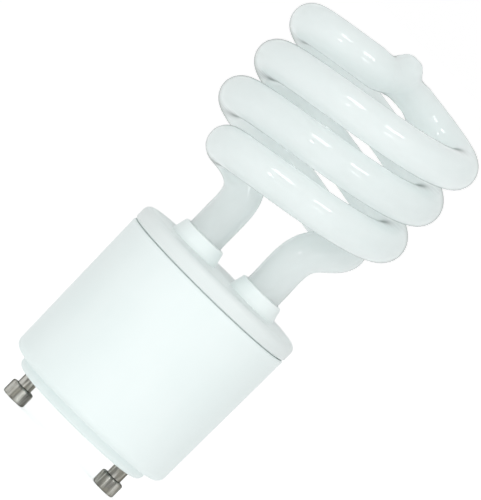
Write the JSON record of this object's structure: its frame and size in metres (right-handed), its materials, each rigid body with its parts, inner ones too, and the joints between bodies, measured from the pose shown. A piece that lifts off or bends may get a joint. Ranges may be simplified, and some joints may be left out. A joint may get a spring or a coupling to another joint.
{
  "type": "spiral fluorescent lamp",
  "caption": "Compact fluorescent lamp: double-spiral glass tube on two legs, domed crown, round plastic ballast housing with a two-pin twist-lock base.",
  "frame": {"origin": "where the lamp axis meets the flat underside of the base, half way between the two contact pins", "axes": "+Z along the lamp axis from the base towards the glass crown; X along the line of the two contact pins"},
  "size_m": [0.0465, 0.0463, 0.0988],
  "materials": {
    "black_epoxy": "moulded epoxy",
    "board": "laminated paper board",
    "bobbin_plastic": "black moulded plastic",
    "capacitor_film": "dipped film capacitor",
    "capacitor_sleeve": "can in a dark shrink sleeve",
    "cement": "set mineral cement",
    "copper_wire": "enamelled copper wire",
    "cover_plastic": "white moulded plastic, fine satin",
    "ferrite": "sintered ferrite",
    "lamp_glass": "milky white phosphor-coated glass, glossy outside",
    "pin_metal": "nickel-plated turned brass",
    "resistor_body": "lacquered ceramic body",
    "shell_plastic": "white moulded plastic, fine satin",
    "tinned_metal": "tinned wire",
    "wire_sleeve": "insulated wire"
  },
  "bodies": {
    "root": {"bulk_capacitor": "capacitor_sleeve", "choke_bobbin": "bobbin_plastic", "choke_core_lower": "ferrite", "choke_core_upper": "ferrite", "choke_winding": "copper_wire", "circuit_board": "board", "contact_pin_left": "pin_metal", "contact_pin_right": "pin_metal", "cover": "cover_plastic", "diode_1": "black_epoxy", "diode_2": "black_epoxy", "diode_3": "black_epoxy", "diode_4": "black_epoxy", "electrode_wire_left_far": "tinned_metal", "electrode_wire_left_near": "tinned_metal", "electrode_wire_right_far": "tinned_metal", "electrode_wire_right_near": "tinned_metal", "film_capacitor": "capacitor_film", "fuse_resistor": "resistor_body", "glass_tube": "lamp_glass", "housing": "shell_plastic", "line_choke_core": "ferrite", "line_choke_winding": "copper_wire", "pin_wire_left": "wire_sleeve", "pin_wire_right": "wire_sleeve", "ring_core": "ferrite", "ring_winding": "copper_wire", "transistor_left": "black_epoxy", "transistor_right": "black_epoxy", "tube_cement_left": "cement", "tube_cement_right": "cement", "wrap_post_left_far": "tinned_metal", "wrap_post_left_near": "tinned_metal", "wrap_post_right_far": "tinned_metal", "wrap_post_right_near": "tinned_metal"}
  },
  "joints": []
}
